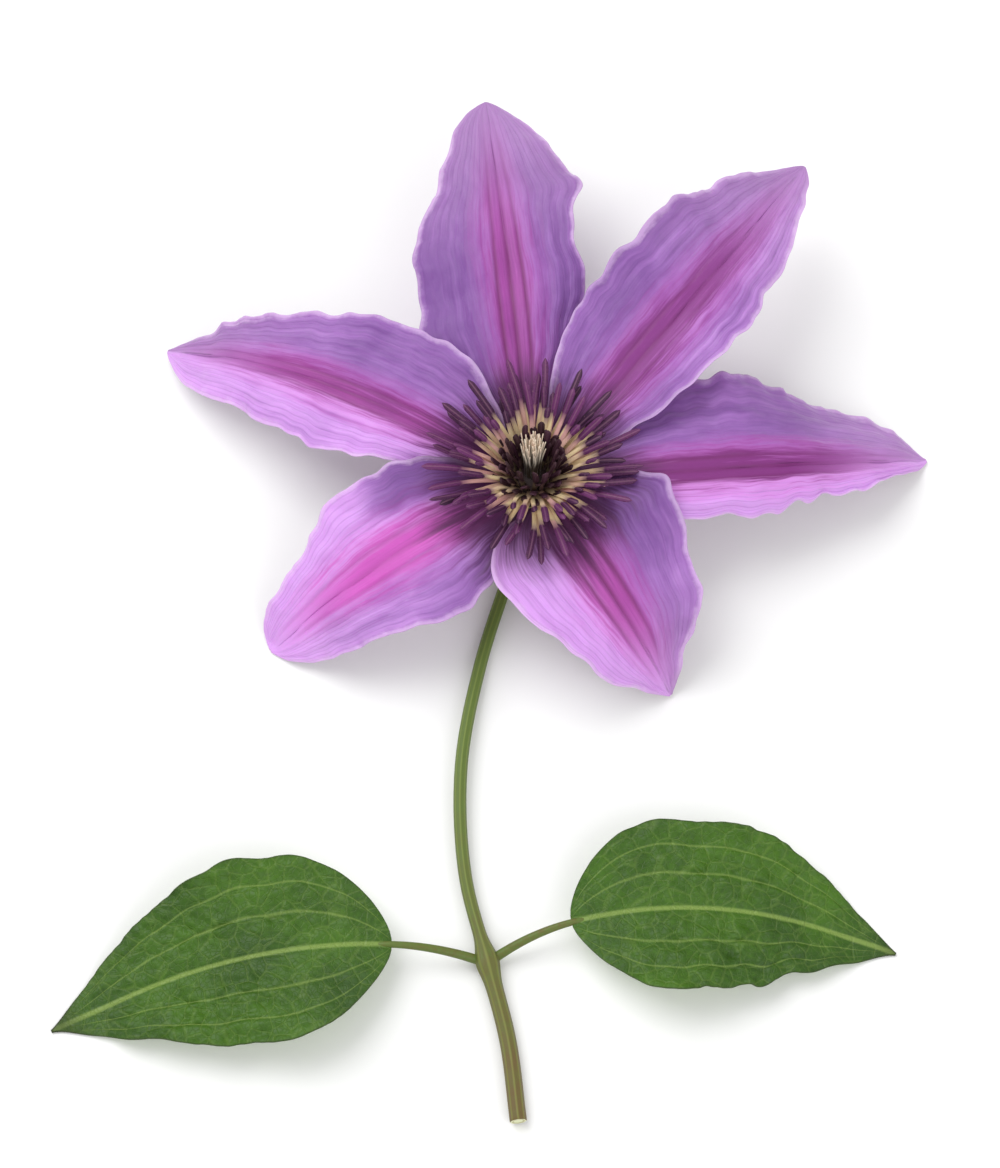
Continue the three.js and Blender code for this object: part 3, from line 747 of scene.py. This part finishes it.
def leaf_skin(leaf, index, look):
    """A petiole and its blade. The blade's half width is the leaf outline, which an irregular field makes
    wander. Its margins lift by |v|^1.5 and sway by a wave that grows with |v|^3, the veins are pressed in
    above and stand out below, and the tissue between them swells. The petiole narrows and runs on under the
    blade as its midrib. What would sink below the ground is laid on it."""
    sweep = leaf["sweep"]
    stem_pitch, stem_turn = (22, 4), 0.3 * sweep
    joint = bow(0.93, leaf["petiole"], stem_pitch, stem_turn)[0]
    blade = dict(length=leaf["length"], pitch=(8, -25), turn=0.7 * sweep, start=joint, heading=0.3 * sweep)
    rows, columns = BLADE_GRID
    s, v = np.meshgrid(np.linspace(0, 1, rows), np.linspace(-1, 1, columns), indexing="ij")
    point, _, left, up = bow(s, **blade)
    run = s * leaf["length"]
    calm = outline(s, 0.5, 1, 1)
    width = 0.8 * (1 - s) + 0.25 + leaf["half"] * outline(s, LEAF_BELLY, 0.7, 1.25)
    width = width + look.leaf_ragged / MM * calm * crinkle(run, 40 * np.sign(v), 12, index + 60)
    x, edge, reach = width * v, width * (1 - np.abs(v)), np.abs(v)

    wave = 1.5 * np.sin(2 * np.pi * (1.7 * s + 0.3 * index + np.where(v > 0, 0, 0.45)))
    nerves = sum(hump((reach - place) * width, 0.55) for place in LEAF_NERVES) * smooth(0.02, 0.2, s)
    quilt = crinkle(run, x, 7, index + 70) + 0.5 * crinkle(run, x, 3, index + 80)
    quilt = quilt * smooth(0, 0.25, reach) * (1 - np.clip(nerves, 0, 1))
    lift = width * 0.16 * reach**1.5 + wave * reach**3 * calm
    lift = lift + calm * (look.quilt / MM * quilt - 0.45 * hump(x, 1.0) - 0.22 * nerves)
    middle = point + left * x[..., None] + up * lift[..., None]
    above = look.leaf_thick / MM / 2 * mix(1, 0.6, reach**4)
    below = above + calm * (0.3 * hump(x, 0.6) + 0.15 * nerves)
    middle[..., 2] = laid(middle[..., 2] - below + NODE[2]) + below - NODE[2]
    skin = Skin()
    skin.sheet(middle, above, below, run=run, over=v, across=x, edge=edge, stem=0)

    foot, steps, rib_end = -PETIOLE_SUNK / leaf["petiole"], 30, 0.6
    parts = [bow(np.linspace(foot, 0.9, steps), leaf["petiole"], stem_pitch, stem_turn)]
    shares = np.linspace(0.01, rib_end, 40)
    under, rib = bow(shares, **blade), mix(0.68, 0.12, shares / rib_end)
    sunk = smooth(0, 0.08, shares) * (0.45 + rib)
    parts.append((under[0] - under[3] * sunk[:, None], *under[1:]))
    centre, _, left, up = (np.vstack(pair) for pair in zip(*parts))
    size = np.concatenate([np.linspace(1.0, 0.7, steps), rib])
    centre[:, 2] = laid(centre[:, 2] - size + NODE[2]) + size - NODE[2]
    stem = np.concatenate([np.ones(steps), smooth(0.2, 0.02, shares)])
    skin.rod(centre, left, up, size, size, run=0, over=0, across=0, edge=9, side=stem, stem=stem)
    skin.move(leaf["heading"], NODE + turned(np.array((PETIOLE_FOOT, 0, 0)), leaf["heading"]))
    return skin


# ---- the stage ----
def floor(look):
    """A disc of rings round the flower's middle, just under the lowest point of the solids."""
    (low, high), rings, sides = CAD_BOX, 24, 96
    middle = ((low.x + high.x) / 2, (low.y + high.y) / 2, low.z - 0.1 * MM)
    angle = np.arange(sides) * 2 * np.pi / sides
    radius = np.geomspace(0.05, look.floor_reach, rings)[:, None]
    points = np.stack([radius * np.cos(angle), radius * np.sin(angle), 0 * radius * angle], -1)
    points = np.vstack([points.reshape(-1, 3), (0, 0, 0)]) + middle
    corner = np.arange(rings * sides).reshape(rings, sides)
    onward = np.roll(corner, -1, axis=1)
    bands = np.stack([corner[:-1], corner[1:], onward[1:], onward[:-1]], -1).reshape(-1, 4)
    hub = np.stack([corner[0], onward[0], np.full(sides, rings * sides)], -1)
    mesh = bpy.data.meshes.new("floor")
    mesh.from_pydata(points, [], bands.tolist() + hub.tolist())
    mesh.materials.append(plain_finish("floor_paper", look.floor_colour))
    paper = bpy.data.objects.new("floor", mesh)
    bpy.context.scene.collection.objects.link(paper)


def point_at(thing, target):
    """Turns a camera or a light so that it looks at a point."""
    thing.rotation_euler = (thing.location - target).to_track_quat("Z", "Y").to_euler()


def add_light(name, offset, width, power, middle):
    """A square soft light at an offset from the flower's middle."""
    lamp = bpy.data.lights.new(name, "AREA")
    lamp.energy, lamp.size = power, width
    light = bpy.data.objects.new(name, lamp)
    light.location = middle + Vector(offset)
    point_at(light, middle)
    bpy.context.scene.collection.objects.link(light)


def add_camera(look, middle):
    """A long lens that looks down on the flower from its stalk's side."""
    camera = bpy.data.objects.new("camera", bpy.data.cameras.new("camera"))
    camera.data.lens, camera.data.sensor_width = look.lens, 36
    camera.data.clip_start, camera.data.clip_end = 0.01, 20
    slope = look.elevation
    camera.location = middle + look.distance * Vector((0, -math.cos(slope), math.sin(slope)))
    point_at(camera, middle)
    bpy.context.scene.collection.objects.link(camera)
    bpy.context.scene.camera = camera


# ---- what a user may change ----
def size(name, millimetres, description):
    return bpy.props.FloatProperty(
        name=name, description=description, default=millimetres * MM, min=0, precision=5, unit="LENGTH")


def number(name, count, description):
    return bpy.props.IntProperty(name=name, description=description, default=count, min=1)


def power(name, watts, description):
    return bpy.props.FloatProperty(name=name, description=description, default=watts, min=0, unit="POWER")


def colour(name, code, description):
    return bpy.props.FloatVectorProperty(
        name=name, description=description, default=tint(code), min=0, max=1, size=3, subtype="COLOR")


class SepalLook(bpy.types.PropertyGroup):
    """What a user may change on the sepals"""
    sepal_thick: size("Thickness", 0.45, "Thickness of a sepal at its midrib")
    crimp: size("Crimp", 0.4, "Depth of the ruffles along a sepal's margins")
    ragged: size("Ragged", 0.3, "How far the margins wander in and out")
    dimple: size("Dimple", 0.1, "Depth of the dimples between the veins")
    grain: size("Grain", 0.12, "Depth of the relief that is too fine for the mesh")
    margin_width: size("Margin width", 1.4, "Width of the pale margin")
    # How far the painted shade under the stamens runs out.
    heart_shade_reach: size("Heart reach", 23, "How far the dark heart runs out along a sepal")
    tissue: colour("Tissue", 0x9D6BB6, "Lighter tissue of the upper face")
    # Dark tissue, which also stands for painted shade where the paleness pair is low.
    tissue_dark: colour("Dark tissue", 0x7C4F97, "Darker tissue of the upper face")
    # Palest tissue, partly painted light.
    pale: colour("Pale tissue", 0xDAA2EC, "Palest tissue of the upper face")
    blush: colour("Blush", 0xC8A0D0, "Pinker tissue towards the tips")
    vein: colour("Vein", 0x7A4492, "Fine veins of the tissue")
    # Pale margin, partly a painted highlight.
    margin: colour("Margin", 0xE0C2EA, "Pale margin")
    bar: colour("Bar", 0x7E2C7A, "Deep colour of the bar down the middle")
    bar_bright: colour("Bright bar", 0xD458C2, "Bright colour of the bar")
    bar_vein: colour("Bar vein", 0x641650, "The three dark veins of the bar")
    # The dark heart is painted shade under the stamens.
    heart_shade: colour("Heart", 0x4A1A48, "Dark base under the stamens")
    underside: colour("Underside", 0xB99BC4, "Tissue of the lower face")
    stripe: colour("Stripe", 0xD8CCC4, "Pale stripe down the lower face")
    back_vein: colour("Lower vein", 0x8E8A6A, "The three veins in that stripe")
    neck: colour("Neck", 0x9FAE4E, "Green at the foot of the lower face")


class BossLook(bpy.types.PropertyGroup):
    """What a user may change on the stamens and the pistil"""
    filament_wide: size("Filament width", 1.0, "Width of a filament halfway up")
    filament_thick: size("Filament thickness", 0.34, "Thickness of a filament")
    anther_wide: size("Anther width", 1.35, "Width of an anther")
    anther_thick: size("Anther thickness", 0.75, "Thickness of an anther")
    inner_count: number("Inner stamens", 44, "How many short stamens fill the middle")
    outer_count: number("Outer stamens", 66, "How many stamens stand between the outer counted ones")
    style_count: number("Styles", 60, "How many styles the tuft has")
    filament: colour("Filament", 0xE4CCA0, "The stamens' threads")
    filament_pink: colour("Pink filament", 0xDCA8A4, "The pinker ones among them")
    filament_foot: colour("Filament foot", 0x8C6A5A, "Foot of the threads")
    anther: colour("Anther", 0x3A1438, "Dark side of the anthers")
    anther_light: colour("Light anther", 0x6C2F66, "Lighter side of the anthers")
    inner_anther: colour("Inner anther", 0x301A16, "The short inner stamens")
    seam: colour("Seam", 0x9A6C84, "Seam between an anther's lobes")
    pollen: colour("Pollen", 0xD8C08A, "Specks of pollen")
    style: colour("Style", 0xF1E4CF, "Silky styles")
    style_foot: colour("Style foot", 0x4A3A28, "Foot of the styles")
    style_tip: colour("Style tip", 0xD8B8A0, "Tips of the styles")


class GreenLook(bpy.types.PropertyGroup):
    """What a user may change on the stalk and the leaves"""
    leaf_thick: size("Leaf thickness", 0.35, "Thickness of a leaf's blade")
    leaf_ragged: size("Leaf ragged", 0.3, "How far a leaf's margins wander in and out")
    quilt: size("Quilt", 0.25, "How far the tissue swells between the veins")
    crown: colour("Crown", 0x3E2A2A, "Top of the receptacle, under the stamens")
    stalk_top: colour("Young stalk", 0x93A04A, "Stalk near the bloom")
    stalk: colour("Stalk", 0x5C7030, "Stalk and petioles")
    stalk_brown: colour("Brown stalk", 0x6E4630, "Browned bark near the cut")
    pith: colour("Pith", 0xDDE0B8, "Middle of the cut face")
    wood: colour("Wood", 0x9A8F58, "Ring in the cut face")
    leaf: colour("Leaf", 0x446C14, "Lighter green of a leaf's upper face")
    leaf_deep: colour("Deep leaf", 0x2A4A0F, "Darker green of a leaf's upper face")
    leaf_vein: colour("Leaf vein", 0x94AC58, "Veins of the upper face")
    leaf_edge: colour("Leaf edge", 0x2E3A16, "Thin dark margin of a leaf")
    leaf_back: colour("Leaf back", 0x8FAE6A, "A leaf's lower face")
    leaf_rib: colour("Leaf rib", 0xC3D08E, "Veins of the lower face")


class StageLook(bpy.types.PropertyGroup):
    """What a user may change on the floor, the lights and the camera"""
    floor_reach: size("Floor reach", 4000, "Radius of the floor")
    distance: size("Camera distance", 880, "From the camera to the flower's middle")
    lens: bpy.props.FloatProperty(
        name="Lens", description="The camera's focal length", default=137, min=1, unit="CAMERA")
    elevation: bpy.props.FloatProperty(
        name="Elevation", description="How steeply the camera looks down", default=math.radians(67),
        subtype="ANGLE")
    key_power: power("Key light", 12, "Power of the main soft light")
    fill_power: power("Fill light", 5, "Power of the weaker light opposite")
    sky: bpy.props.FloatProperty(
        name="Sky", description="Strength of the even light all round", default=0.68, min=0)
    floor_colour: colour("Floor", 0xF6F6F6, "Plain paper under the flower")


# ---- operators ----
class CLEMATIS_OT_stage(bpy.types.Operator):
    """Adds the floor, the lights and the camera"""
    bl_idname = "clematis.stage"
    bl_label = "Stage"

    def execute(self, context):
        look, scene = context.scene.clematis_stage, context.scene
        middle = (CAD_BOX[0] + CAD_BOX[1]) / 2
        floor(look)
        add_camera(look, middle)
        add_light("key_light", (-0.6, 0.5, 1.15), 1.1, look.key_power, middle)
        add_light("fill_light", (0.6, -0.8, 0.8), 1.0, look.fill_power, middle)
        scene.world = bpy.data.worlds.new("studio")
        scene.world.use_nodes = True
        sky = scene.world.node_tree.nodes["Background"]
        sky.inputs["Color"].default_value = (1, 1, 1, 1)
        sky.inputs["Strength"].default_value = look.sky
        scene.view_settings.view_transform = "Standard"
        return {"FINISHED"}


class CLEMATIS_OT_sepals(bpy.types.Operator):
    """Grows the six sepals"""
    bl_idname = "clematis.sepals"
    bl_label = "Sepals"

    def execute(self, context):
        look = context.scene.clematis_sepals
        tissue = sepal_finish(look)
        for index, form in enumerate(SEPALS):
            sepal_skin(form, index, look).build(f"sepal_{index + 1}", "sepal", tissue)
        return {"FINISHED"}


class CLEMATIS_OT_stamens(bpy.types.Operator):
    """Grows the stamens, and the short ones that fill the middle"""
    bl_idname = "clematis.stamens"
    bl_label = "Stamens"

    def execute(self, context):
        look = context.scene.clematis_boss
        tissue = stamen_finish(look)
        random = np.random.default_rng(3)
        for i in range(STAMENS):
            skin = Skin()
            add_stamen(skin, stamen_plan(i), random, look)
            skin.build(f"stamen_{i + 1:02d}", "stamen", tissue)
        filler_skin(look).build("filler_stamens", "stamen", tissue, replaces=False)
        return {"FINISHED"}


class CLEMATIS_OT_pistil(bpy.types.Operator):
    """Grows the tuft of styles"""
    bl_idname = "clematis.pistil"
    bl_label = "Pistil"

    def execute(self, context):
        look = context.scene.clematis_boss
        pistil_skin(look).build("pistil", "pistil", pistil_finish(look))
        return {"FINISHED"}


class CLEMATIS_OT_stalk(bpy.types.Operator):
    """Grows the receptacle and the stalk down to its cut"""
    bl_idname = "clematis.stalk"
    bl_label = "Stalk"

    def execute(self, context):
        stalk_skin().build("stalk", "stalk", stalk_finish(context.scene.clematis_greens))
        return {"FINISHED"}


class CLEMATIS_OT_leaves(bpy.types.Operator):
    """Grows the pair of leaves"""
    bl_idname = "clematis.leaves"
    bl_label = "Leaves"

    def execute(self, context):
        look = context.scene.clematis_greens
        tissue = leaf_finish(look)
        for index, leaf in enumerate(LEAVES):
            leaf_skin(leaf, index, look).build(leaf["node"], "leaf", tissue)
        return {"FINISHED"}


LOOKS = {"clematis_sepals": SepalLook, "clematis_boss": BossLook, "clematis_greens": GreenLook,
         "clematis_stage": StageLook}
STEPS = (CLEMATIS_OT_stage, CLEMATIS_OT_sepals, CLEMATIS_OT_stamens, CLEMATIS_OT_pistil, CLEMATIS_OT_stalk,
         CLEMATIS_OT_leaves)


class CLEMATIS_PT_panel(bpy.types.Panel):
    """Lists the steps that build the flower, and the sizes and colours behind them"""
    bl_label = "Clematis"
    bl_space_type = "VIEW_3D"
    bl_region_type = "UI"
    bl_category = "Clematis"

    def draw(self, context):
        for step in STEPS:
            self.layout.operator(step.bl_idname)
        for name, look in LOOKS.items():
            box = self.layout.box()
            for field in look.__annotations__:
                box.prop(getattr(context.scene, name), field)


def register():
    for kind in (*LOOKS.values(), *STEPS, CLEMATIS_PT_panel):
        bpy.utils.register_class(kind)
    for name, look in LOOKS.items():
        setattr(bpy.types.Scene, name, bpy.props.PointerProperty(type=look))


def unregister():
    for name in LOOKS:
        delattr(bpy.types.Scene, name)
    for kind in (CLEMATIS_PT_panel, *reversed(STEPS), *LOOKS.values()):
        bpy.utils.unregister_class(kind)


def main():
    """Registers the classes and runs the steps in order."""
    register()
    for step in STEPS:
        getattr(bpy.ops.clematis, step.bl_idname.split(".")[1])()


if __name__ == "__main__":
    main()
